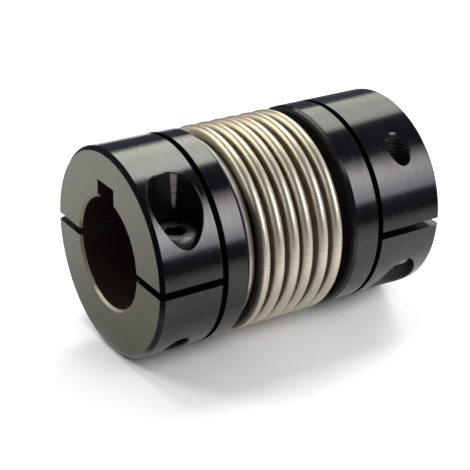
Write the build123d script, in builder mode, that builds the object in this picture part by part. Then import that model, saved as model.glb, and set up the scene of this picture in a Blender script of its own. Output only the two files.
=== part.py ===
from build123d import *
import os

os.makedirs("parts", exist_ok=True)

# Metal bellows shaft coupling with two keyed clamping hubs.
# Frame: the coupling axis is X, +Z is up, the origin is on the axis, halfway
# between the two outer end faces. Each hub's clamp slit lies in the plane
# z = 0 and both clamp screws are on the -Y side, parallel to Z.
# All lengths are in millimetres.

# ---------------------------------------------------------------- whole part
overall_length = 102.6
outer_radius = 33.0
face_chamfer = 1.25            # outer edge of each outer end face
inner_edge_chamfer = 1.5       # outer edge of each hub's bellows end

# ---------------------------------------------------------------------- bore
bore_radius = 17.5             # for a 35 mm shaft
bore_mouth_chamfer = 0.8
bore_rear_chamfer = 0.5
key_width = 10.0
key_top = 22.7                 # keyway floor, from the axis

# -------------------------------------------------------------------- clamps
slit_width = 2.5
saw_cut_width = 2.0
saw_cut_bottom_y = 13.0        # the saw cut comes in from -Y and stops here
screw_y = -22.75
left_clamp_length = 20.4       # outer face to saw cut
left_rim_end = 30.6            # outer face to the bellows end face
left_screw_x = 10.4            # outer face to screw axis
right_clamp_length = 23.3
right_rim_end = 34.6
right_screw_x = 11.2
spigot_radius = 25.8           # the bellows collar fits over this
spigot_length = 2.6
spigot_chamfer = 0.3

# -------------------------------------------------- M8 socket head cap screws
head_radius = 6.5
head_height = 8.0
head_edge = 0.5
hex_across_flats = 6.0
hex_depth = 4.0
hex_mouth_chamfer = 0.5
screw_length = 20.0
screw_radius = 3.95
screw_tip_chamfer = 1.0
seat_z = 6.7                   # head seat above the slit plane
counterbore_radius = 8.0
clearance_radius = 4.4
tapped_radius = 4.0            # major diameter of the M8 thread
mouth_chamfer = 0.3            # deburred edge round each screw hole's mouths

# ------------------------------------------------------------------- bellows
# crest centres along X: six convolutions at about 5.3 mm, not quite even
crests = [-15.25, -9.98, -4.62, 0.25, 5.95, 11.3]
crest_radius = 32.9            # outside of the crests
root_radius = 26.2             # outside of the roots and of the end collars
crest_bend = 1.82              # outer bend radius of a crest
wall = 0.35
end_bend = 0.4                 # bend from each end collar up to the first flank
ring_radius = 30.9             # end ring against the left hub's face
ring_length = 3.2
ring_round = 1.1               # rounded shoulder beside the hub
ring_fall = 1.3                # how far the ring slopes down towards the first crest
ring_lip = 0.4                 # rounding at the foot of that slope

left_face = -overall_length / 2
right_face = overall_length / 2
left_rim_x = left_face + left_rim_end
right_rim_x = right_face - right_rim_end


# ------------------------------------------------------------------ left hub
with BuildPart() as left_hub:
    # turned blank with its bore, spigot and edge chamfers
    with BuildSketch(Plane.XZ):
        with BuildLine():
            Polyline(
                (left_face, bore_radius + bore_mouth_chamfer),
                (left_face, outer_radius - face_chamfer),
                (left_face + face_chamfer, outer_radius),
                (left_rim_x - inner_edge_chamfer, outer_radius),
                (left_rim_x, outer_radius - inner_edge_chamfer),
                (left_rim_x, spigot_radius),
                (left_rim_x + spigot_length - spigot_chamfer, spigot_radius),
                (left_rim_x + spigot_length, spigot_radius - spigot_chamfer),
                (left_rim_x + spigot_length, bore_radius + bore_rear_chamfer),
                (left_rim_x + spigot_length - bore_rear_chamfer, bore_radius),
                (left_face + bore_mouth_chamfer, bore_radius),
                close=True,
            )
        make_face()
    revolve(axis=Axis.X)
    # keyway, broached through the whole hub
    with BuildSketch(Plane.YZ.offset(left_face)):
        with Locations((0, key_top / 2)):
            Rectangle(key_width, key_top)
    extrude(amount=left_rim_end + spigot_length, mode=Mode.SUBTRACT)
    # clamp slit, across both sides of the bore
    with BuildSketch(Plane.YZ.offset(left_face)):
        Rectangle(2 * outer_radius + 2, slit_width)
    extrude(amount=left_clamp_length + saw_cut_width / 2, mode=Mode.SUBTRACT)
    # saw cut that frees the clamp from the rim, leaving a web on the +Y side
    with BuildSketch(Plane.YZ.offset(left_face + left_clamp_length)):
        with Locations(((saw_cut_bottom_y - outer_radius - 2) / 2, 0)):
            Rectangle(saw_cut_bottom_y + outer_radius + 2, 2 * outer_radius + 4)
    extrude(amount=saw_cut_width, mode=Mode.SUBTRACT)
    # clamp screw hole: counterbore above, thread below, right through
    with BuildSketch(Plane.XY.offset(seat_z)):
        with Locations((left_face + left_screw_x, screw_y)):
            Circle(counterbore_radius)
    extrude(amount=outer_radius, mode=Mode.SUBTRACT)
    with BuildSketch(Plane.XY):
        with Locations((left_face + left_screw_x, screw_y)):
            Circle(clearance_radius)
    extrude(amount=seat_z, mode=Mode.SUBTRACT)
    with BuildSketch(Plane.XY):
        with Locations((left_face + left_screw_x, screw_y)):
            Circle(tapped_radius)
    extrude(amount=-outer_radius, mode=Mode.SUBTRACT)
    # deburr the mouths of the counterbore and of the tapped hole
    mouths = [
        edge
        for edge in edges().filter_by(GeomType.BSPLINE)
        if abs(edge.center().Z) > 12 and abs(edge.center().Y - screw_y) < 4
    ]
    chamfer(mouths, mouth_chamfer)

# ----------------------------------------------------------------- right hub
with BuildPart() as right_hub:
    with BuildSketch(Plane.XZ):
        with BuildLine():
            Polyline(
                (right_face, bore_radius + bore_mouth_chamfer),
                (right_face, outer_radius - face_chamfer),
                (right_face - face_chamfer, outer_radius),
                (right_rim_x + inner_edge_chamfer, outer_radius),
                (right_rim_x, outer_radius - inner_edge_chamfer),
                (right_rim_x, spigot_radius),
                (right_rim_x - spigot_length + spigot_chamfer, spigot_radius),
                (right_rim_x - spigot_length, spigot_radius - spigot_chamfer),
                (right_rim_x - spigot_length, bore_radius + bore_rear_chamfer),
                (right_rim_x - spigot_length + bore_rear_chamfer, bore_radius),
                (right_face - bore_mouth_chamfer, bore_radius),
                close=True,
            )
        make_face()
    revolve(axis=Axis.X)
    # keyway on the other side of the bore, as the hub is turned end for end
    with BuildSketch(Plane.YZ.offset(right_face)):
        with Locations((0, -key_top / 2)):
            Rectangle(key_width, key_top)
    extrude(amount=-(right_rim_end + spigot_length), mode=Mode.SUBTRACT)
    # clamp slit
    with BuildSketch(Plane.YZ.offset(right_face)):
        Rectangle(2 * outer_radius + 2, slit_width)
    extrude(amount=-(right_clamp_length + saw_cut_width / 2), mode=Mode.SUBTRACT)
    # saw cut
    with BuildSketch(Plane.YZ.offset(right_face - right_clamp_length)):
        with Locations(((saw_cut_bottom_y - outer_radius - 2) / 2, 0)):
            Rectangle(saw_cut_bottom_y + outer_radius + 2, 2 * outer_radius + 4)
    extrude(amount=-saw_cut_width, mode=Mode.SUBTRACT)
    # clamp screw hole, the other way up
    with BuildSketch(Plane.XY.offset(-seat_z)):
        with Locations((right_face - right_screw_x, screw_y)):
            Circle(counterbore_radius)
    extrude(amount=-outer_radius, mode=Mode.SUBTRACT)
    with BuildSketch(Plane.XY):
        with Locations((right_face - right_screw_x, screw_y)):
            Circle(clearance_radius)
    extrude(amount=-seat_z, mode=Mode.SUBTRACT)
    with BuildSketch(Plane.XY):
        with Locations((right_face - right_screw_x, screw_y)):
            Circle(tapped_radius)
    extrude(amount=outer_radius, mode=Mode.SUBTRACT)
    # deburr the mouths of the counterbore and of the tapped hole
    mouths = [
        edge
        for edge in edges().filter_by(GeomType.BSPLINE)
        if abs(edge.center().Z) > 12 and abs(edge.center().Y - screw_y) < 4
    ]
    chamfer(mouths, mouth_chamfer)

# ------------------------------------------------------------------- bellows
# One thin wall from collar to collar: a U-shaped bend at every crest and root,
# with a solid ring round the left collar that lies against the left hub.
# Each root bend fills the gap that its two neighbouring crests leave.
crest_line = crest_radius - crest_bend       # height of the crest bend centres
in_crest = crest_bend - wall                 # inner surface bend radius
first, last = crests[0], crests[-1]
gaps = [(a, b) for a, b in zip(crests, crests[1:])]
roots = [((a + b) / 2, (b - a) / 2 - crest_bend) for a, b in gaps]

with BuildPart() as bellows:
    with BuildSketch(Plane.XZ):
        with BuildLine():
            # outside, left to right
            start = first - crest_bend - end_bend
            ring_x = left_rim_x + ring_length
            ring_line = ring_radius - ring_round
            Line((left_rim_x, root_radius - wall), (left_rim_x, ring_line))
            CenterArc((left_rim_x + ring_round, ring_line), ring_round, 90, 90)
            ring_foot = ring_radius - ring_fall
            Line((left_rim_x + ring_round, ring_radius), (ring_x - ring_lip, ring_foot))
            CenterArc((ring_x - ring_lip, ring_foot - ring_lip), ring_lip, 0, 90)
            Line((ring_x, ring_foot - ring_lip), (ring_x, root_radius))
            Line((ring_x, root_radius), (start, root_radius))
            CenterArc((start, root_radius + end_bend), end_bend, 270, 90)
            foot = root_radius + end_bend
            for i, x in enumerate(crests):
                Line((x - crest_bend, foot), (x - crest_bend, crest_line))
                CenterArc((x, crest_line), crest_bend, 0, 180)
                if i < len(roots):
                    middle, bend = roots[i]
                    foot = root_radius + bend
                    Line((x + crest_bend, crest_line), (x + crest_bend, foot))
                    CenterArc((middle, foot), bend, 180, 180)
            end = last + crest_bend + end_bend
            foot = root_radius + end_bend
            Line((last + crest_bend, crest_line), (last + crest_bend, foot))
            CenterArc((end, foot), end_bend, 180, 90)
            Line((end, root_radius), (right_rim_x, root_radius))
            Line((right_rim_x, root_radius), (right_rim_x, root_radius - wall))
            # inside, left to right, one wall thickness away
            Line((left_rim_x, root_radius - wall), (start, root_radius - wall))
            CenterArc((start, root_radius + end_bend), end_bend + wall, 270, 90)
            foot = root_radius + end_bend
            for i, x in enumerate(crests):
                Line((x - in_crest, foot), (x - in_crest, crest_line))
                CenterArc((x, crest_line), in_crest, 0, 180)
                if i < len(roots):
                    middle, bend = roots[i]
                    foot = root_radius + bend
                    Line((x + in_crest, crest_line), (x + in_crest, foot))
                    CenterArc((middle, foot), bend + wall, 180, 180)
            foot = root_radius + end_bend
            Line((last + in_crest, crest_line), (last + in_crest, foot))
            CenterArc((end, foot), end_bend + wall, 180, 90)
            Line((end, root_radius - wall), (right_rim_x, root_radius - wall))
        make_face()
    revolve(axis=Axis.X)

# ---------------------------------------------------------------- left screw
with BuildPart() as left_clamp_screw:
    with BuildSketch(Plane.XY.offset(seat_z)):
        with Locations((left_face + left_screw_x, screw_y)):
            Circle(head_radius)
    extrude(amount=head_height)
    chamfer(edges().group_by(Axis.Z)[-1], head_edge)
    with BuildSketch(Plane.XY.offset(seat_z)):
        with Locations((left_face + left_screw_x, screw_y)):
            Circle(screw_radius)
    extrude(amount=-screw_length)
    chamfer(edges().group_by(Axis.Z)[0], screw_tip_chamfer)
    with BuildSketch(Plane.XY.offset(seat_z + head_height)):
        with Locations((left_face + left_screw_x, screw_y)):
            RegularPolygon(hex_across_flats / 2, 6, major_radius=False, rotation=30)
    extrude(amount=-hex_depth, mode=Mode.SUBTRACT)
    with BuildSketch(Plane.XY.offset(seat_z + head_height)):
        with Locations((left_face + left_screw_x, screw_y)):
            Circle(hex_across_flats / 3 ** 0.5 + 0.15)
    extrude(amount=-1.2, taper=45, mode=Mode.SUBTRACT)

# --------------------------------------------------------------- right screw
with BuildPart() as right_clamp_screw:
    with BuildSketch(Plane.XY.offset(-seat_z)):
        with Locations((right_face - right_screw_x, screw_y)):
            Circle(head_radius)
    extrude(amount=-head_height)
    chamfer(edges().group_by(Axis.Z)[0], head_edge)
    with BuildSketch(Plane.XY.offset(-seat_z)):
        with Locations((right_face - right_screw_x, screw_y)):
            Circle(screw_radius)
    extrude(amount=screw_length)
    chamfer(edges().group_by(Axis.Z)[-1], screw_tip_chamfer)
    with BuildSketch(Plane.XY.offset(-seat_z - head_height)):
        with Locations((right_face - right_screw_x, screw_y)):
            RegularPolygon(hex_across_flats / 2, 6, major_radius=False, rotation=30)
    extrude(amount=hex_depth, mode=Mode.SUBTRACT)
    with BuildSketch(Plane.XY.offset(-seat_z - head_height)):
        with Locations((right_face - right_screw_x, screw_y)):
            Circle(hex_across_flats / 3 ** 0.5 + 0.15)
    extrude(amount=1.2, taper=45, mode=Mode.SUBTRACT)

left_hub.part.label = "left_hub"
right_hub.part.label = "right_hub"
bellows.part.label = "bellows"
left_clamp_screw.part.label = "left_clamp_screw"
right_clamp_screw.part.label = "right_clamp_screw"

export_step(left_hub.part, "parts/left_hub.step")
export_step(right_hub.part, "parts/right_hub.step")
export_step(bellows.part, "parts/bellows.step")
export_step(left_clamp_screw.part, "parts/left_clamp_screw.step")
export_step(right_clamp_screw.part, "parts/right_clamp_screw.step")

for piece in (left_hub, right_hub, bellows, left_clamp_screw, right_clamp_screw):
    box = piece.part.bounding_box()
    print(piece.part.label, len(piece.part.solids()), "solid,",
          round(piece.part.volume), "mm3, box", box.min, box.max)
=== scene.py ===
import math

import bmesh
import bpy
from mathutils import Matrix, Vector


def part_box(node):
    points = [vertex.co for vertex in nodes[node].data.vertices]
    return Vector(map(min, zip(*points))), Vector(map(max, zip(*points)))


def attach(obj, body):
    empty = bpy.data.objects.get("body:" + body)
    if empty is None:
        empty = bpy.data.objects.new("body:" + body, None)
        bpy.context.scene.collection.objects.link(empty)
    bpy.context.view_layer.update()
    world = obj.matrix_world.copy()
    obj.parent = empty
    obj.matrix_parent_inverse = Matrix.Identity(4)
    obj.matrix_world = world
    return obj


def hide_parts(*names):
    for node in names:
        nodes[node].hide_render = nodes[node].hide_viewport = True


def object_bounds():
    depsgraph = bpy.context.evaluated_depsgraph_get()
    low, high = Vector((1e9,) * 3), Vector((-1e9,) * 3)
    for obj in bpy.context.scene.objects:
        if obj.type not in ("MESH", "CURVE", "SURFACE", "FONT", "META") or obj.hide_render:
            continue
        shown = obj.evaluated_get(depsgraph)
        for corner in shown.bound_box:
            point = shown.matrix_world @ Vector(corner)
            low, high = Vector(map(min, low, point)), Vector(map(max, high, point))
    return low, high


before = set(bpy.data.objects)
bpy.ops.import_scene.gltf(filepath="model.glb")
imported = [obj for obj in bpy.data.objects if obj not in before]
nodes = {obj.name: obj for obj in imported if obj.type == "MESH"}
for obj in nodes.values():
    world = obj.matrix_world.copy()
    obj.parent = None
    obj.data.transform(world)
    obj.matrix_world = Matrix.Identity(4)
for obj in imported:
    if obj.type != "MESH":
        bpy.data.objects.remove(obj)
cad_lo, cad_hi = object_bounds()
scene = bpy.context.scene
MM = 0.001

# ------------------------------------------------------------ places
LEFT = cad_lo.x                      # outer face of the left hub
RIGHT = cad_hi.x                     # outer face of the right hub
R = cad_hi.z                         # outer radius of the hubs
FLOOR = cad_lo.z
SEAM = math.radians(88.5)              # where the seam lies, from the top towards the screws

# the camera's place and directions
az, el, tilt = math.radians(32.772), math.radians(24.152), math.radians(1.95)
turn = Matrix.Rotation(-tilt, 3, "X")
look = turn @ Vector((math.sin(az) * math.cos(el), math.cos(az) * math.cos(el), -math.sin(el)))
side = turn @ Vector((math.cos(az), -math.sin(az), 0.0))
up = side.cross(look)
spot = turn @ (Vector((-5.017619, -9.947902, 5.156300)) * R) + Vector((LEFT, 0, 0))


def screw_place(name):
    lo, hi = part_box(name)
    return (lo.x + hi.x) / 2, (lo.y + hi.y) / 2, lo.z, hi.z


# ------------------------------------------------------------ node helpers
class Graph:
    """A material's node tree, with short calls for the nodes used here."""

    def __init__(self, name):
        self.material = bpy.data.materials.new(name)
        self.material.use_nodes = True
        self.tree = self.material.node_tree
        self.tree.nodes.clear()
        self.out = self.node("ShaderNodeOutputMaterial")

    def node(self, kind, **values):
        n = self.tree.nodes.new(kind)
        for key, value in values.items():
            setattr(n, key, value)
        return n

    def plug(self, socket, value):
        if isinstance(value, bpy.types.NodeSocket):
            self.tree.links.new(value, socket)
        elif isinstance(value, tuple) and socket.type == "RGBA" and len(value) == 3:
            socket.default_value = (*value, 1.0)
        else:
            socket.default_value = value

    def math(self, operation, *values, clamp=False):
        n = self.node("ShaderNodeMath", operation=operation, use_clamp=clamp)
        for i, v in enumerate(values):
            self.plug(n.inputs[i], v)
        return n.outputs[0]

    def spread(self, value, low, high, to_low=0.0, to_high=1.0, smooth=True):
        n = self.node("ShaderNodeMapRange")
        n.interpolation_type = "SMOOTHSTEP" if smooth else "LINEAR"
        n.clamp = True
        self.plug(n.inputs["Value"], value)
        n.inputs["From Min"].default_value = low
        n.inputs["From Max"].default_value = high
        n.inputs["To Min"].default_value = to_low
        n.inputs["To Max"].default_value = to_high
        return n.outputs[0]

    def noise(self, vector, scale, detail=2.0, rough=0.5, dims="3D"):
        n = self.node("ShaderNodeTexNoise", noise_dimensions=dims)
        if dims == "1D":
            self.plug(n.inputs["W"], vector)
        else:
            self.plug(n.inputs["Vector"], vector)
        n.inputs["Scale"].default_value = scale
        n.inputs["Detail"].default_value = detail
        n.inputs["Roughness"].default_value = rough
        return n.outputs["Fac"]

    def mix(self, factor, a, b):
        n = self.node("ShaderNodeMix", data_type="RGBA")
        self.plug(n.inputs[0], factor)
        self.plug(n.inputs[6], a)
        self.plug(n.inputs[7], b)
        return n.outputs[2]

    def join(self, x, y, z):
        n = self.node("ShaderNodeCombineXYZ")
        for i, v in enumerate((x, y, z)):
            self.plug(n.inputs[i], v)
        return n.outputs[0]

    def place(self):
        """Position in the part's own frame, in millimetres: x, y, z, radius and angle about the axis."""
        tc = self.node("ShaderNodeTexCoord")
        s = self.node("ShaderNodeVectorMath", operation="SCALE")
        self.plug(s.inputs[0], tc.outputs["Object"])
        s.inputs["Scale"].default_value = 1000.0
        split = self.node("ShaderNodeSeparateXYZ")
        self.plug(split.inputs[0], s.outputs[0])
        x, y, z = split.outputs
        rr = self.math("SQRT", self.math("ADD", self.math("MULTIPLY", y, y), self.math("MULTIPLY", z, z)))
        angle = self.math("ARCTAN2", self.math("MULTIPLY", y, -1.0), z)
        return s.outputs[0], x, y, z, rr, angle

    def bump(self, height, distance, strength=1.0, normal=None):
        n = self.node("ShaderNodeBump")
        n.inputs["Strength"].default_value = strength
        n.inputs["Distance"].default_value = distance
        self.plug(n.inputs["Height"], height)
        if normal is not None:
            self.plug(n.inputs["Normal"], normal)
        return n.outputs[0]

    def surface(self, **sockets):
        n = self.node("ShaderNodeBsdfPrincipled")
        for key, value in sockets.items():
            self.plug(n.inputs[key.replace("_", " ")], value)
        self.tree.links.new(n.outputs[0], self.out.inputs[0])
        return n


# ------------------------------------------------------------ materials
def anodised():
    """Turned aluminium, dyed black: glossy on the turned outside, duller and greyer on
    the faced ends, and dull brown-black in the bore, the keyway and the sawn cuts."""
    g = Graph("black_anodised")
    p, x, y, z, rr, angle = g.place()
    geo = g.node("ShaderNodeNewGeometry")
    split = g.node("ShaderNodeSeparateXYZ")
    g.plug(split.inputs[0], geo.outputs["True Normal"])
    nx = g.math("ABSOLUTE", split.outputs[0])
    end = g.math("MULTIPLY", g.spread(nx, 0.9, 0.98), g.spread(g.math("ABSOLUTE", x), 50.6, 50.9))
    bore = g.spread(rr, 17.62, 17.72, 1.0, 0.0)
    keyway = g.math("MULTIPLY", g.spread(g.math("ABSOLUTE", y), 5.05, 5.15, 1.0, 0.0), g.spread(rr, 23.6, 23.9, 1.0, 0.0))
    inside = g.math("MULTIPLY", g.math("MAXIMUM", bore, keyway), g.math("SUBTRACT", 1.0, end))
    inside = g.math("MULTIPLY", inside, g.spread(nx, 0.3, 0.5, 1.0, 0.0))
    # the broken edge round each end, and the faces turned towards the bellows, are duller
    edge = g.math("MULTIPLY", g.spread(nx, 0.35, 0.6), g.math("SUBTRACT", 1.0, end))
    # ... but the outer one is polished where it faces the bench, and so are the inner ones
    outer = g.spread(g.math("ABSOLUTE", x), 49.8, 50.0)
    under = g.math("MULTIPLY", outer, g.spread(angle, math.radians(92.0), math.radians(112.0)))
    under = g.math("MULTIPLY", under, g.spread(rr, 24.0, 26.0))
    within = g.math("MULTIPLY", g.math("SUBTRACT", 1.0, outer), g.spread(rr, 32.1, 32.25))
    edge = g.math("MULTIPLY", edge, g.math("SUBTRACT", 1.0, g.math("MAXIMUM", under, within)))
    # walls and floor of the two stepped holes for the screw heads
    well, wells = None, []
    for name, side_of in (("left_clamp_screw", 1.0), ("right_clamp_screw", -1.0)):
        cx, cy, z0, z1 = screw_place(name)
        dx = g.math("SUBTRACT", x, cx / MM)
        dy = g.math("SUBTRACT", y, cy / MM)
        away = g.math("SQRT", g.math("ADD", g.math("MULTIPLY", dx, dx), g.math("MULTIPLY", dy, dy)))
        here = g.math("MULTIPLY", g.spread(away, 8.02, 8.08, 1.0, 0.0), g.spread(g.math("MULTIPLY", z, side_of), 5.5, 6.0))
        wells.append(here)
    well = g.math("MAXIMUM", wells[0], g.math("MULTIPLY", wells[1], 0.3))
    # turning marks run round the axis, so they vary along it and hardly round it
    turned = g.join(g.math("MULTIPLY", x, 11.0), g.math("MULTIPLY", y, 0.06), g.math("MULTIPLY", z, 0.06))
    fine = g.noise(turned, 1.0, 3.0, 0.6)
    coarse = g.noise(g.join(g.math("MULTIPLY", x, 1.9), g.math("MULTIPLY", y, 0.42), g.math("MULTIPLY", z, 0.42)), 1.0, 3.0, 0.6)
    streak = g.noise(g.join(g.math("MULTIPLY", x, 2.6), g.math("MULTIPLY", y, 0.07), g.math("MULTIPLY", z, 0.07)), 1.0, 2.0, 0.6)
    cutter = g.noise(g.join(g.math("MULTIPLY", x, 0.9), g.math("MULTIPLY", y, 0.9), g.math("MULTIPLY", z, 14.0)), 1.0, 3.0, 0.65)
    faced = g.join(g.math("MULTIPLY", rr, 7.0), g.math("MULTIPLY", y, 0.05), g.math("MULTIPLY", z, 0.05))
    rings = g.noise(faced, 1.0, 3.0, 0.6)
    cloud = g.noise(p, 0.10, 3.0, 0.55)
    speck = g.noise(p, 4.5, 2.0, 0.6)
    # small scuffs along the edges of the ends
    scuff = g.spread(g.noise(p, 1.4, 4.0, 0.7), 0.62, 0.74)
    rim = g.math("MULTIPLY", g.spread(rr, 31.2, 31.7), g.spread(g.math("ABSOLUTE", x), 50.4, 51.2))
    rough = g.math("ADD", g.math("MULTIPLY", fine, 0.035), 0.105)
    rough = g.math("ADD", rough, g.math("MULTIPLY", cloud, 0.03))
    rough = g.math("ADD", rough, g.spread(streak, 0.48, 0.72, 0.0, 0.07))
    rough_face = g.math("ADD", g.math("MULTIPLY", rings, 0.10), 0.30)
    m = g.node("ShaderNodeMix", data_type="FLOAT")
    g.plug(m.inputs[0], end)
    g.plug(m.inputs[2], rough)
    g.plug(m.inputs[3], rough_face)
    m2 = g.node("ShaderNodeMix", data_type="FLOAT")
    g.plug(m2.inputs[0], inside)
    g.plug(m2.inputs[2], m.outputs[0])
    m2.inputs[3].default_value = 0.55
    m3 = g.node("ShaderNodeMix", data_type="FLOAT")
    g.plug(m3.inputs[0], g.math("MAXIMUM", edge, g.math("MULTIPLY", well, 0.45)))
    g.plug(m3.inputs[2], m2.outputs[0])
    m3.inputs[3].default_value = 0.50
    colour = g.mix(g.spread(cloud, 0.35, 0.7), (0.0012, 0.0012, 0.0018), (0.0019, 0.0019, 0.0027))
    colour = g.mix(inside, colour, (0.0118, 0.0068, 0.0050))
    # a lighter brown patch painted in the mouth of the slit, where it opens into the bore
    slit_mouth_patch = g.math("MULTIPLY", g.spread(g.math("ABSOLUTE", z), 1.28, 1.35, 1.0, 0.0), g.spread(y, 17.0, 17.3))
    slit_mouth_patch = g.math("MULTIPLY", slit_mouth_patch, g.spread(y, 19.5, 22.5, 1.0, 0.0))
    slit_mouth_patch = g.math("MULTIPLY", slit_mouth_patch, g.spread(g.math("ABSOLUTE", x), 48.6, 50.4, 1.0, 0.0))
    colour = g.mix(slit_mouth_patch, colour, (0.036, 0.021, 0.015))
    face = g.mix(g.spread(rings, 0.35, 0.7), (0.146, 0.144, 0.109), (0.171, 0.169, 0.129))
    colour = g.mix(end, colour, face)
    colour = g.mix(g.math("MULTIPLY", g.math("MULTIPLY", scuff, rim), 0.5), colour, (0.10, 0.10, 0.095))
    # a painted reflection: a mottled bright streak down the wall of the left hub's stepped hole, painted as bare metal
    cx, cy, z0, z1 = screw_place("left_clamp_screw")
    turn_at = g.math("ARCTAN2", g.math("SUBTRACT", y, cy / MM), g.math("SUBTRACT", x, cx / MM))
    off = g.math("ABSOLUTE", g.math("SUBTRACT", turn_at, math.radians(63.0)))
    narrow = g.spread(z, 18.0, 30.0, 0.055, 0.125, smooth=False)
    painted_streak = g.spread(g.math("DIVIDE", off, narrow), 0.7, 1.3, 1.0, 0.0)
    painted_streak = g.math("MULTIPLY", painted_streak, g.spread(z, 17.5, 20.5))
    painted_streak = g.math("MULTIPLY", painted_streak, g.spread(x, -30.0, -29.0, 1.0, 0.0))
    mottle = g.noise(g.join(g.math("MULTIPLY", x, 1.5), g.math("MULTIPLY", y, 1.5), g.math("MULTIPLY", z, 0.9)), 1.0, 3.0, 0.65)
    painted_streak = g.math("MULTIPLY", g.math("MULTIPLY", painted_streak, well), g.spread(mottle, 0.30, 0.54, 0.30, 0.92))
    colour = g.mix(painted_streak, colour, (0.30, 0.275, 0.26))
    lip = g.math("MULTIPLY", g.spread(rr, 18.32, 18.42, 1.0, 0.0), g.spread(g.math("ABSOLUTE", x), 50.45, 50.6))
    lip = g.math("MULTIPLY", lip, g.math("SUBTRACT", 1.0, end))
    lip = g.math("MULTIPLY", lip, g.spread(g.math("ABSOLUTE", g.math("SUBTRACT", rr, 17.9)), 0.44, 0.52, 1.0, 0.0))
    # the bare lip is painted darker half-way up, as painted shade, and kept bright at the bottom
    painted_lip_shade = g.math("MULTIPLY", g.spread(z, -16.4, -14.8), g.spread(z, 2.0, 6.0, 1.0, 0.0))
    lip = g.math("MULTIPLY", lip, g.math("SUBTRACT", 1.0, g.math("MULTIPLY", painted_lip_shade, 0.6)))
    colour = g.mix(lip, colour, (0.36, 0.32, 0.25))
    metal = g.math("MAXIMUM", g.math("MULTIPLY", end, 0.5), g.math("MULTIPLY", painted_streak, 0.8))
    metal = g.math("MAXIMUM", metal, g.math("MULTIPLY", lip, 0.7))
    height = g.node("ShaderNodeMix", data_type="FLOAT")
    g.plug(height.inputs[0], end)
    g.plug(height.inputs[2], fine)
    g.plug(height.inputs[3], rings)
    h = g.math("ADD", height.outputs[0], g.math("MULTIPLY", speck, 0.8))
    h = g.math("ADD", h, g.math("MULTIPLY", g.math("MULTIPLY", coarse, g.math("SUBTRACT", 1.0, end)), 14.0))
    h = g.math("ADD", h, g.math("MULTIPLY", g.math("MULTIPLY", cutter, well), 26.0))
    bevel = g.node("ShaderNodeBevel")
    bevel.samples = 4
    bevel.inputs["Radius"].default_value = 0.00010
    brink = g.math("MULTIPLY", edge, g.math("ADD", g.math("MULTIPLY", outer, 0.30), 1.0))
    dull = g.math("MAXIMUM", g.math("MAXIMUM", brink, inside), g.math("MULTIPLY", well, 0.75))
    shine = g.math("SUBTRACT", 0.5, g.math("MULTIPLY", dull, 0.36))
    # the far stepped hole still has its oily shine
    shine = g.math("ADD", shine, g.math("MULTIPLY", wells[1], 0.45))
    grooves = g.noise(g.join(g.math("MULTIPLY", x, 1.6), g.math("MULTIPLY", y, 0.16), g.math("MULTIPLY", z, 0.16)), 1.0, 2.0, 0.7)
    shine = g.math("MULTIPLY", shine, g.spread(grooves, 0.30, 0.70, 0.90, 1.08))
    g.surface(
        Base_Color=colour,
        Metallic=metal,
        Specular_IOR_Level=shine,
        Roughness=m3.outputs[0],
        IOR=1.5,
        Normal=g.bump(h, 0.0000012, 1.0, bevel.outputs[0]),
    )
    return g.material


def stainless():
    """Thin drawn stainless steel, slightly warm, with soft drawing marks, a faint seam
    along the side, and the roots painted darker as painted shade."""
    g = Graph("stainless_bellows")
    p, x, y, z, rr, angle = g.place()
    marks = g.noise(g.join(g.math("MULTIPLY", x, 6.0), g.math("MULTIPLY", y, 0.08), g.math("MULTIPLY", z, 0.08)), 1.0, 3.0, 0.6)
    cloud = g.noise(p, 0.25, 3.0, 0.6)
    grain = g.noise(p, 3.0, 3.0, 0.6)
    # the roots are painted darker than the crests by radius, as painted shade
    colour = g.mix(g.spread(rr, 26.4, 30.5), (0.38, 0.34, 0.26), (0.62, 0.575, 0.47))
    colour = g.mix(g.spread(cloud, 0.3, 0.75, 0.0, 0.35), colour, (0.54, 0.49, 0.38))
    ring = g.spread(x, -17.46, -17.40, 1.0, 0.0)
    # the end ring is duller, and its colour is painted darker towards the foot of its slope, as painted shade
    ring_colour_and_shade = g.mix(g.spread(x, -19.9, -17.8), (0.60, 0.57, 0.47), (0.15, 0.14, 0.115))
    ring_colour_and_shade = g.mix(g.spread(cloud, 0.35, 0.75, 0.0, 0.3), ring_colour_and_shade, (0.20, 0.185, 0.15))
    # ... and painted darker in bands down its side, as painted shade
    deg = math.radians
    painted_angle_shade = g.math("MULTIPLY", g.spread(angle, deg(40.0), deg(50.0), 0.0, 0.60), g.spread(angle, deg(78.0), deg(86.0), 1.0, 0.45))
    painted_angle_shade = g.math("MAXIMUM", painted_angle_shade, g.spread(angle, deg(98.0), deg(106.0), 0.0, 0.85))
    ring_colour_and_shade = g.mix(painted_angle_shade, ring_colour_and_shade, (0.085, 0.080, 0.065))
    # the first flank behind the ring is painted darker too, as painted shade
    flank = g.math("MULTIPLY", g.spread(x, -16.5, -16.1, 1.0, 0.0), g.spread(angle, deg(42.0), deg(62.0), 0.0, 0.85))
    colour = g.mix(flank, colour, (0.055, 0.048, 0.036))
    colour = g.mix(ring, colour, ring_colour_and_shade)
    seam_at = g.math("ABSOLUTE", g.math("SUBTRACT", angle, SEAM))
    seam = g.math("MULTIPLY", g.spread(seam_at, 0.003, 0.012, 1.0, 0.0), g.spread(rr, 30.5, 31.5))
    colour = g.mix(g.math("MULTIPLY", seam, 0.35), colour, (0.35, 0.30, 0.24))
    rough = g.math("ADD", g.math("MULTIPLY", marks, 0.12), 0.34)
    rough = g.math("ADD", rough, g.math("MULTIPLY", cloud, 0.05))
    rough = g.math("ADD", rough, g.math("MULTIPLY", ring, 0.12))
    g.surface(
        Base_Color=colour,
        Metallic=g.math("SUBTRACT", 1.0, g.math("MULTIPLY", ring, 0.5)),
        Roughness=rough,
        Normal=g.bump(g.math("ADD", marks, g.math("MULTIPLY", grain, 0.3)), 0.000003),
    )
    return g.material


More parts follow.
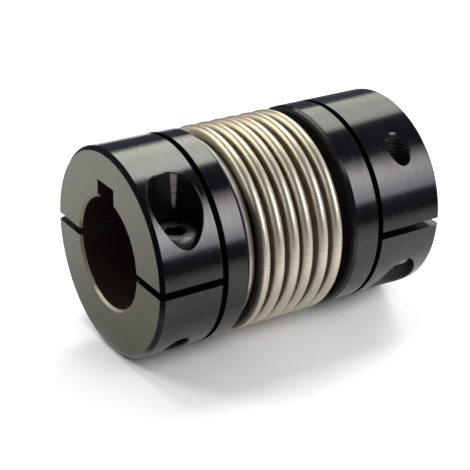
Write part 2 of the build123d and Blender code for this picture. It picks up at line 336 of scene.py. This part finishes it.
def screw_steel():
    """Blackened steel, worn to a mottled grey on the knurl and the top of the head."""
    g = Graph("screw_steel")
    p, x, y, z, rr, angle = g.place()
    cloud = g.noise(p, 0.6, 3.0, 0.6)
    grain = g.noise(p, 5.0, 3.0, 0.65)
    worn = g.spread(g.math("ADD", g.math("MULTIPLY", grain, 0.7), g.math("MULTIPLY", cloud, 0.3)), 0.38, 0.66)
    colour = g.mix(worn, (0.105, 0.104, 0.097), (0.285, 0.282, 0.260))
    # the hex socket is painted near-black, as painted shade in the recess
    socket_shade = g.node("ShaderNodeAttribute", attribute_name="socket")
    colour = g.mix(socket_shade.outputs["Fac"], colour, (0.012, 0.011, 0.011))
    g.surface(
        Base_Color=colour,
        Metallic=1.0,
        Roughness=g.math("ADD", g.math("MULTIPLY", grain, 0.25), 0.40),
        Normal=g.bump(grain, 0.000012),
    )
    return g.material


def paint(ob, material):
    ob.data.materials.clear()
    ob.data.materials.append(material)


def thread_finish():
    """The tapped holes: dyed black like the hubs, but duller, with a random grain."""
    g = Graph("tapped_thread")
    p, x, y, z, rr, angle = g.place()
    grain = g.noise(p, 3.5, 3.0, 0.6)
    g.surface(
        Base_Color=g.mix(grain, (0.0025, 0.0025, 0.0030), (0.009, 0.009, 0.010)),
        Specular_IOR_Level=0.15,
        Roughness=g.math("ADD", g.math("MULTIPLY", grain, 0.2), 0.28),
        Normal=g.bump(grain, 0.000006),
    )
    return g.material


BLACK = anodised()
THREAD = thread_finish()
STEEL = stainless()
SCREW = screw_steel()
for name in ("left_hub", "right_hub"):
    paint(nodes[name], BLACK)
paint(nodes["bellows"], STEEL)


# ------------------------------------------------------------ screws and threads
def ring_mesh(name, rows, count, closed_ends=True, loop=False):
    """A surface of rings. rows holds count points each; the ends are closed to a point
    or the last ring is joined to the first."""
    verts, faces = [], []
    for row in rows:
        verts += row
    last = len(rows) if loop else len(rows) - 1
    for i in range(last):
        a, b = i * count, (i + 1) % len(rows) * count
        for j in range(count):
            k = (j + 1) % count
            faces.append((a + j, a + k, b + k, b + j))
    if closed_ends and not loop:
        for start, flip in ((0, True), ((len(rows) - 1) * count, False)):
            centre = sum((Vector(v) for v in verts[start:start + count]), Vector()) / count
            verts.append(tuple(centre))
            hub = len(verts) - 1
            for j in range(count):
                k = (j + 1) % count
                faces.append((hub, start + k, start + j) if flip else (hub, start + j, start + k))
    me = bpy.data.meshes.new(name)
    me.from_pydata([tuple(v) for v in verts], [], faces)
    bm = bmesh.new()
    bm.from_mesh(me)
    bmesh.ops.recalc_face_normals(bm, faces=bm.faces)
    bm.to_mesh(me)
    bm.free()
    return me


def thread(phase, root, crest):
    """Radius of a 60 degree thread with narrow flats, at a place in its pitch."""
    t = phase % 1.0
    t = abs(2.0 * t - 1.0)
    return root + (crest - root) * min(1.0, max(0.0, (t - 0.09) / 0.82))


HEX = 3.0                              # half the hexagon across its flats, mm
PITCH = 1.25


def hexagon(a):
    s = (a + math.pi / 6) % (math.pi / 3) - math.pi / 6
    return HEX / math.cos(s)


def screw_mesh(name):
    """Socket head cap screw with a knurled head and a cut thread, head up, in mm."""
    count = 240
    rows, socket = [], []

    def add(radius, depth, in_socket=0.0):
        row = []
        for j in range(count):
            a = 2 * math.pi * j / count
            r = radius(a) if callable(radius) else radius
            d = depth(a, r) if callable(depth) else depth
            row.append((r * math.cos(a), r * math.sin(a), -d))
        rows.append(row)
        socket.append(in_socket)

    mouth = 3.62
    for share in (0.30, 0.65, 0.98):
        add(lambda a, s=share: hexagon(a) * s, 4.0 + (0.98 - share) * 1.2, 1.0)
    for depth in (3.9, 3.0, 2.0, 1.0):
        add(hexagon, depth, 1.0)
    add(hexagon, lambda a, r: (mouth - r) * 0.6 + 0.06, 0.8)
    add(hexagon, lambda a, r: (mouth - r) * 0.6, 0.3)
    for radius, depth in ((3.62, 0.0), (3.70, 0.0), (4.3, 0.0), (5.0, 0.0), (5.55, 0.0), (5.72, 0.03),
                          (5.92, 0.12), (6.12, 0.28), (6.26, 0.48), (6.34, 0.72), (6.36, 0.95)):
        add(radius, depth)

    flutes = 48

    def knurl(depth):
        share = min(1.0, max(0.0, (depth - 0.95) / 0.45)) * min(1.0, max(0.0, (7.45 - depth) / 0.3))

        def radius(a):
            t = (a * flutes / (2 * math.pi)) % 1.0
            wave = 0.5 - 0.5 * math.cos(2 * math.pi * t)
            wear = 0.05 * math.sin(a * 7.0 + depth * 1.3) * math.sin(a * 3.0 - depth * 2.1)
            return 6.36 + share * (0.13 - 0.27 * (1.0 - wave) + wear * 0.2)

        return radius

    steps = 20
    for i in range(steps + 1):
        d = 1.05 + (7.45 - 1.05) * i / steps
        add(knurl(d), d)
    for radius, depth in ((6.36, 7.55), (6.25, 7.75), (6.0, 7.92), (5.8, 8.0), (5.0, 8.0), (4.35, 8.0), (4.1, 8.08),
                          (3.98, 8.2), (3.94, 8.4)):
        add(radius, depth)
    first, last = 8.7, 27.35
    steps = int((last - first) / PITCH * 8)
    for i in range(steps + 1):
        d = first + (last - first) * i / steps
        fade = min(1.0, max(0.0, (d - 8.7) / 0.8))

        def radius(a, d=d, fade=fade):
            r = thread(d / PITCH + a / (2 * math.pi), 3.30, 3.94)
            return 3.94 + (r - 3.94) * fade

        add(radius, d)
    for radius, depth in ((3.28, 27.6), (3.1, 27.8), (2.9, 28.0), (2.0, 28.0), (1.0, 28.0)):
        add(radius, depth)
    me = ring_mesh(name, rows, count)
    # the socket attribute weights the painted shade inside the hex socket
    at = me.attributes.new("socket", "FLOAT", "POINT")
    for i in range(len(me.vertices)):
        at.data[i].value = socket[i // count] if i < count * len(rows) else (1.0 if i == count * len(rows) else 0.0)
    return me


def smooth(me, angle):
    me.polygons.foreach_set("use_smooth", [True] * len(me.polygons))
    me.set_sharp_from_angle(angle=math.radians(angle))


def add_screw(node, name, upside_down):
    cx, cy, z0, z1 = screw_place(node)
    me = screw_mesh(name)
    turn_over = Matrix.Rotation(math.pi, 4, "X") if upside_down else Matrix.Identity(4)
    turn_hex = Matrix.Rotation(math.radians(HEX_TURN[node]), 4, "Z")
    place = Matrix.Translation(Vector((cx, cy, z0 if upside_down else z1))) @ turn_over @ turn_hex @ Matrix.Scale(MM, 4)
    me.transform(place)
    smooth(me, 32.0)
    ob = bpy.data.objects.new(name, me)
    scene.collection.objects.link(ob)
    paint(ob, SCREW)
    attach(ob, "root")
    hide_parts(node)
    return ob


def add_tapped_thread(node, name, up_side):
    """The cut thread in the open end of a clamp screw's tapped hole, from just past the
    screw's tip to the hub's round side."""
    cx, cy, z0, z1 = screw_place(node)
    tip = z1 if up_side else -z0
    count, pitch_steps = 120, 8
    begin = tip + 0.12 * MM
    radius = R / MM
    x0, y0 = cx / MM, cy / MM

    def finish(a):
        y = y0 + (4.0 if up_side else -4.0) * math.sin(a)
        return math.sqrt(radius * radius - y * y) - 0.42

    low = begin / MM
    turns = (max(finish(2 * math.pi * j / count) for j in range(count)) - low) / PITCH
    steps = int(turns * pitch_steps) + 1
    inner, outer = [], []
    for i in range(steps + 1):
        row_in, row_out = [], []
        for j in range(count):
            a = 2 * math.pi * j / count
            h = low + (finish(a) - low) * i / steps
            room = finish(a) - h
            r = thread(h / PITCH - a / (2 * math.pi), 4.0, 3.38)
            r = 4.0 + (r - 4.0) * min(1.0, room / 0.7)
            row_in.append((x0 + r * math.cos(a), y0 + r * math.sin(a), h))
            row_out.append((x0 + 4.06 * math.cos(a), y0 + 4.06 * math.sin(a), h))
        inner.append(row_in)
        outer.append(row_out)
    rows = inner + outer[::-1]
    if not up_side:
        rows = [[(px, 2 * y0 - py, -pz) for px, py, pz in row] for row in rows]
    me = ring_mesh(name, rows, count, loop=True)
    me.transform(Matrix.Scale(MM, 4))
    smooth(me, 40.0)
    ob = bpy.data.objects.new(name, me)
    scene.collection.objects.link(ob)
    paint(ob, THREAD)
    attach(ob, "root")
    return ob


HEX_TURN = {"left_clamp_screw": 12.0, "right_clamp_screw": 25.0}
add_screw("left_clamp_screw", "left_cap_screw", False)
add_screw("right_clamp_screw", "right_cap_screw", True)
add_tapped_thread("left_clamp_screw", "left_tapped_thread", False)
add_tapped_thread("right_clamp_screw", "right_tapped_thread", True)


# ------------------------------------------------------------ stage
def stage_plane():
    me = bpy.data.meshes.new("floor")
    s = 6.0
    me.from_pydata([(-s, -s, FLOOR), (s, -s, FLOOR), (s, s, FLOOR), (-s, s, FLOOR)], [], [(0, 1, 2, 3)])
    ob = bpy.data.objects.new("floor", me)
    scene.collection.objects.link(ob)
    g = Graph("floor_white")
    p, *_ = g.place()
    tone = g.noise(p, 0.004, 2.0, 0.5)
    g.surface(Base_Color=g.mix(tone, (0.805, 0.80, 0.79), (0.84, 0.835, 0.82)), Roughness=0.9)
    paint(ob, g.material)
    return ob


def mirrored(x, degrees, axis, level):
    """Where a straight line from the camera, mirrored in a hub's round side, meets the
    plane axis = level. x is measured from the left end in outer radii, and degrees is
    the angle about the axis, from the top towards the screws."""
    a = math.radians(degrees)
    n = Vector((0.0, -math.sin(a), math.cos(a)))
    at = Vector((LEFT + x * R, 0.0, 0.0)) + n * R
    d = (at - spot).normalized()
    d = d - 2.0 * d.dot(n) * n
    return at + d * ((level - at[axis]) / d[axis])


def softbox(name, axis, level, stations, colours, shares):
    """A soft panel of light in the plane axis = level. stations lists (x, from, to): the
    panel's two long edges, given where the near hub's round side would mirror them.
    shares lists rows of (place across, radiance at each station)."""
    me = bpy.data.meshes.new(name)
    n = len(shares)
    verts, faces, power, places = [], [], [], []
    for i, (x, start, stop) in enumerate(stations):
        for place, row in shares:
            verts.append(mirrored(x, start + (stop - start) * place, axis, level))
            power.append(row[i])
            places.append(place)
    for i in range(len(stations) - 1):
        for j in range(n - 1):
            faces.append((i * n + j, i * n + j + 1, (i + 1) * n + j + 1, (i + 1) * n + j))
    me.from_pydata(verts, [], faces)
    at = me.attributes.new("radiance", "FLOAT", "POINT")
    for i, v in enumerate(power):
        at.data[i].value = v
    at = me.attributes.new("across", "FLOAT", "POINT")
    for i, v in enumerate(places):
        at.data[i].value = v
    ob = bpy.data.objects.new(name, me)
    scene.collection.objects.link(ob)
    g = Graph(name)
    e = g.node("ShaderNodeEmission")
    across = g.node("ShaderNodeAttribute", attribute_name="across")
    g.plug(e.inputs["Color"], g.mix(across.outputs["Fac"], *colours))
    attribute = g.node("ShaderNodeAttribute", attribute_name="radiance")
    g.plug(e.inputs["Strength"], attribute.outputs["Fac"])
    g.tree.links.new(e.outputs[0], g.out.inputs[0])
    paint(ob, g.material)
    ob.visible_camera = False
    ob.visible_shadow = False
    ob.visible_diffuse = False
    return ob


def lamp(name, place, aim, size, energy):
    """A large soft lamp for the dull surfaces; the glossy ones mirror the panels instead."""
    light = bpy.data.lights.new(name, "AREA")
    light.shape = "RECTANGLE"
    light.size, light.size_y = size
    light.energy = energy
    ob = bpy.data.objects.new(name, light)
    ob.location = place
    ob.rotation_mode = "QUATERNION"
    ob.rotation_quaternion = (Vector(aim) - ob.location).to_track_quat("-Z", "Y")
    ob.visible_glossy = False
    ob.visible_camera = False
    scene.collection.objects.link(ob)
    return ob


floor = stage_plane()

# overhead panel, seen in the tops of the hubs
softbox(
    "overhead_panel", 2, 0.65,
    ((-1.2, 3.6, 29.0), (0.07, 2.9, 28.4), (0.5, 2.3, 28.1), (0.85, 1.6, 27.3), (2.15, -0.8, 24.9),
     (2.62, -1.5, 23.6), (3.03, -2.8, 22.2), (3.5, -4.0, 21.0)),
    ((1.0, 1.0, 0.87), (1.0, 1.0, 0.93)),
    ((0.0, (2.2, 2.2, 2.2, 2.2, 1.3, 1.2, 1.2, 1.2)), (0.12, (4.6, 4.6, 4.6, 4.6, 2.7, 2.4, 2.3, 2.3)),
     (0.5, (5.6, 5.6, 5.7, 5.7, 3.3, 3.1, 3.0, 3.0)), (0.8, (7.3, 7.3, 7.3, 7.3, 4.6, 4.2, 4.1, 4.1)),
     (0.93, (7.3, 7.3, 7.3, 7.3, 4.4, 4.0, 3.9, 3.9)), (1.0, (3.0, 3.0, 3.0, 3.0, 1.6, 1.5, 1.5, 1.5))),
)

# front panel, seen as the lower band on the hubs
softbox(
    "front_panel", 1, -0.70,
    ((-1.0, 52.0, 71.0), (0.07, 48.0, 71.0), (0.5, 44.5, 70.9), (0.85, 43.0, 70.8), (2.15, 45.0, 68.6),
     (3.03, 45.2, 68.4), (3.5, 45.2, 68.4)),
    ((1.0, 0.93, 0.90), (0.94, 0.93, 1.0)),
    ((0.0, (0.6, 0.6, 0.6, 0.6, 0.6, 0.6, 0.6)), (0.16, (4.5, 4.5, 4.5, 4.5, 3.0, 3.0, 3.0)),
     (0.32, (7.6, 7.6, 7.6, 7.8, 6.6, 6.6, 6.6)), (0.5, (8.5, 8.5, 8.5, 8.5, 7.6, 7.6, 7.6)),
     (0.68, (7.6, 7.6, 7.6, 7.6, 6.2, 6.2, 6.2)), (0.85, (5.0, 5.0, 5.0, 5.0, 4.4, 4.4, 4.4)),
     (0.97, (4.0, 4.0, 4.0, 4.0, 3.8, 3.8, 3.8)), (1.0, (1.0, 1.0, 1.0, 1.0, 1.0, 1.0, 1.0))),
)

# the dull surfaces are lit from all round by soft lamps, mostly low and from behind, so
# the shade on the floor is short and falls to the front
FOOT = Vector((0.0, 0.0, FLOOR))
for name, azimuth, height, size, energy in (
    ("right_low", 94.6, 12.2, (0.29, 0.28), 7.1),
    ("back_right_low", 63.7, 15.5, (0.34, 0.34), 4.6),
    ("back_low", 46.4, 12.2, (0.28, 0.30), 13.7),
    ("back_high", 5.0, 69.7, (0.60, 0.31), 5.5),
    ("left_high", 307.1, 41.6, (0.33, 0.30), 3.6),
    ("front_left", 220.6, 32.0, (0.40, 0.28), 0.4),
    ("front", 178.7, 41.7, (0.89, 0.61), 7.4),
):
    a, h = math.radians(azimuth), math.radians(height)
    lamp(name, (math.cos(h) * math.sin(a), math.cos(h) * math.cos(a), math.sin(h)), FOOT, size, energy)


def dark_card(name, box, cover, lean=0.0):
    """A dark card just over the floor, out of sight and casting no shade, that only the
    mirror-like surfaces see, in place of the floor beyond the object. cover gives the
    axis, the two places along it, and how much the card hides at each. lean slants it."""
    x0, x1, y0, y1 = box
    axis, low, high, shares = cover
    me = bpy.data.meshes.new(name)
    z = FLOOR + 0.8 * MM
    me.from_pydata([(x0, y0, z), (x1, y0, z), (x1, y1, z), (x0, y1, z)], [], [(0, 1, 2, 3)])
    ob = bpy.data.objects.new(name, me)
    scene.collection.objects.link(ob)
    g = Graph(name)
    p, x, y, *_ = g.place()
    along = (x, y)[axis] if lean == 0.0 else g.math("SUBTRACT", x, g.math("MULTIPLY", y, lean))
    hide = g.spread(along, low, high, *shares)
    clear = g.node("ShaderNodeBsdfTransparent")
    dull = g.node("ShaderNodeEmission")
    g.plug(dull.inputs["Color"], (0.85, 0.92, 1.0))
    dull.inputs["Strength"].default_value = 0.10
    m = g.node("ShaderNodeMixShader")
    g.plug(m.inputs[0], hide)
    g.tree.links.new(clear.outputs[0], m.inputs[1])
    g.tree.links.new(dull.outputs[0], m.inputs[2])
    g.tree.links.new(m.outputs[0], g.out.inputs[0])
    paint(ob, g.material)
    ob.visible_camera = False
    ob.visible_shadow = False
    ob.visible_diffuse = False
    return ob


dark_card("front_card", (-1.5, 2.5, -5.0, -0.036), (1, -280.0, -60.0, (1.0, 0.10)))
dark_card("back_card", (-0.10, 3.5, 0.08, 5.0), (0, -45.0, 45.0, (0.34, 0.97)), 0.58)

dark_card("left_card", (-0.40, -0.053, -0.35, 0.35), (1, 5.0, 130.0, (0.80, 0.25)))


def plain_panel(name, centre, size, colour, radiance):
    """A square soft panel facing the object, for the small bright lines on the flanks of
    the crests and on the rim of the bore."""
    c = Vector(centre)
    away = c.normalized()
    across = away.cross(Vector((0, 0, 1))).normalized()
    rise = across.cross(away)
    w, h = size[0] / 2, size[1] / 2
    me = bpy.data.meshes.new(name)
    me.from_pydata([tuple(c + across * i * w + rise * j * h) for i, j in ((-1, -1), (1, -1), (1, 1), (-1, 1))], [], [(0, 1, 2, 3)])
    ob = bpy.data.objects.new(name, me)
    scene.collection.objects.link(ob)
    g = Graph(name)
    e = g.node("ShaderNodeEmission")
    g.plug(e.inputs["Color"], colour)
    e.inputs["Strength"].default_value = radiance
    g.tree.links.new(e.outputs[0], g.out.inputs[0])
    paint(ob, g.material)
    ob.visible_camera = False
    ob.visible_shadow = False
    ob.visible_diffuse = False
    return ob


plain_panel("left_panel", (-0.50, 0.46, 0.46), (0.75, 0.50), (1.0, 0.96, 0.82), 2.8)
plain_panel("right_panel", (1.00, 0.15, 0.50), (0.60, 0.55), (1.0, 0.96, 0.84), 1.8)
plain_panel("left_side_panel", (-0.88, -0.08, 0.42), (0.60, 0.42), (1.0, 0.96, 0.86), 2.2)

world = bpy.data.worlds.new("studio")
scene.world = world
world.use_nodes = True
background = world.node_tree.nodes.get("Background") or world.node_tree.nodes.new("ShaderNodeBackground")
background.inputs[0].default_value = (0.66, 0.70, 1.0, 1.0)
background.inputs[1].default_value = 0.15
scene.view_settings.view_transform = "Standard"

# ------------------------------------------------------------ camera
cam = bpy.data.cameras.new("camera")
cam.sensor_width = 36.0
cam.lens = 102.76
cam.clip_start, cam.clip_end = 0.01, 50.0
cam_ob = bpy.data.objects.new("camera", cam)
scene.collection.objects.link(cam_ob)
scene.camera = cam_ob
m = Matrix((side, up, -look)).transposed().to_4x4()
m.translation = spot
cam_ob.matrix_world = m

bpy.context.view_layer.update()
